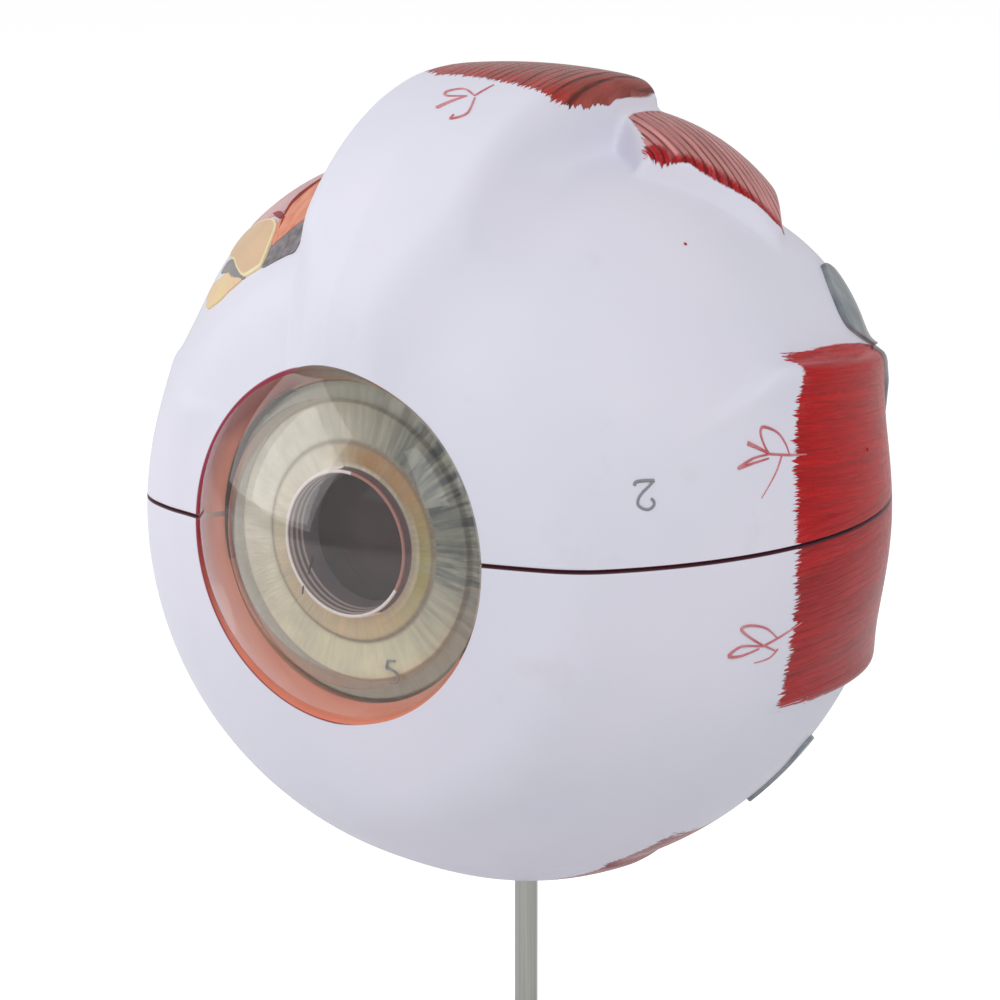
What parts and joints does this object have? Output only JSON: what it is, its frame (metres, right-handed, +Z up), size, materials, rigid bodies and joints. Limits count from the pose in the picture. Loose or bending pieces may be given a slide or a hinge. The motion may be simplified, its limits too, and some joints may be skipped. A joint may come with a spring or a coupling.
{
  "type": "eye anatomy model",
  "caption": "Take-apart classroom model of a left eyeball on a rod stand: halves lift off a clear inner ball, with cornea, iris, lens and muscle stumps",
  "frame": {"origin": "middle of the stand's underside, on the rod's axis, at table height", "axes": "+Z up along the rod; the cornea faces -Y; +X is the temporal side of this left eye"},
  "size_m": [0.136, 0.136, 0.2096],
  "materials": {
    "white_gloss": "glossy white moulding",
    "choroid_red": "painted moulding, satin",
    "clear_resin": "clear polished plastic",
    "iris_paint": "hand painted moulding, satin",
    "nerve_sheath": "painted moulding, satin",
    "nerve_core": "painted moulding, matt",
    "steel": "drawn stainless steel",
    "plated": "nickel plated",
    "cast": "plain disc",
    "black_cover": "matt black sheet",
    "rubber": "black rubber"
  },
  "bodies": {
    "stand": {"base_plate": "white_gloss", "base_weight": "cast", "base_cover": "black_cover", "base_feet": "rubber", "base_screws": "plated", "support_rod": "steel", "rod_washer": "plated", "rod_nut": "plated", "rod_ferrule": "plated"},
    "lower_globe": {"lower_sclera": "white_gloss", "rod_socket": "steel", "locating_pins": "steel", "lower_choroid": "choroid_red", "optic_nerve_sheath": "nerve_sheath", "optic_nerve_core": "nerve_core"},
    "upper_shell": {"upper_sclera": "white_gloss"},
    "upper_lining": {"upper_choroid": "choroid_red"},
    "front_unit": {"cornea": "clear_resin", "iris": "iris_paint"},
    "vitreous": {"vitreous_body": "clear_resin"},
    "crystalline_lens": {"lens": "clear_resin"}
  },
  "joints": [
    {"name": "globe_swivel", "type": "hinge", "parent": "stand", "child": "lower_globe", "pos_m": [0, 0, 0.08], "axis": [0, 0, 1], "continuous": true},
    {"name": "upper_lift", "type": "slide", "parent": "lower_globe", "child": "upper_shell", "axis": [0, 0, 1], "range_m": [0, 0.18]},
    {"name": "lining_lift", "type": "slide", "parent": "lower_globe", "child": "upper_lining", "axis": [0, 0, 1], "range_m": [0, 0.1201]},
    {"name": "vitreous_lift", "type": "slide", "parent": "lower_globe", "child": "vitreous", "axis": [0, 0, 1], "range_m": [0, 0.06]},
    {"name": "front_pull", "type": "slide", "parent": "lower_globe", "child": "front_unit", "axis": [0, -1, 0], "range_m": [0, 0.044]},
    {"name": "lens_pull", "type": "slide", "parent": "vitreous", "child": "crystalline_lens", "axis": [0, -1, 0], "range_m": [0, 0.022]}
  ],
  "couplings": [
    {"joint": "lining_lift", "follows": "upper_lift", "ratio": 0.6667},
    {"joint": "vitreous_lift", "follows": "upper_lift", "ratio": 0.3333},
    {"joint": "lens_pull", "follows": "front_pull", "ratio": 0.5}
  ]
}
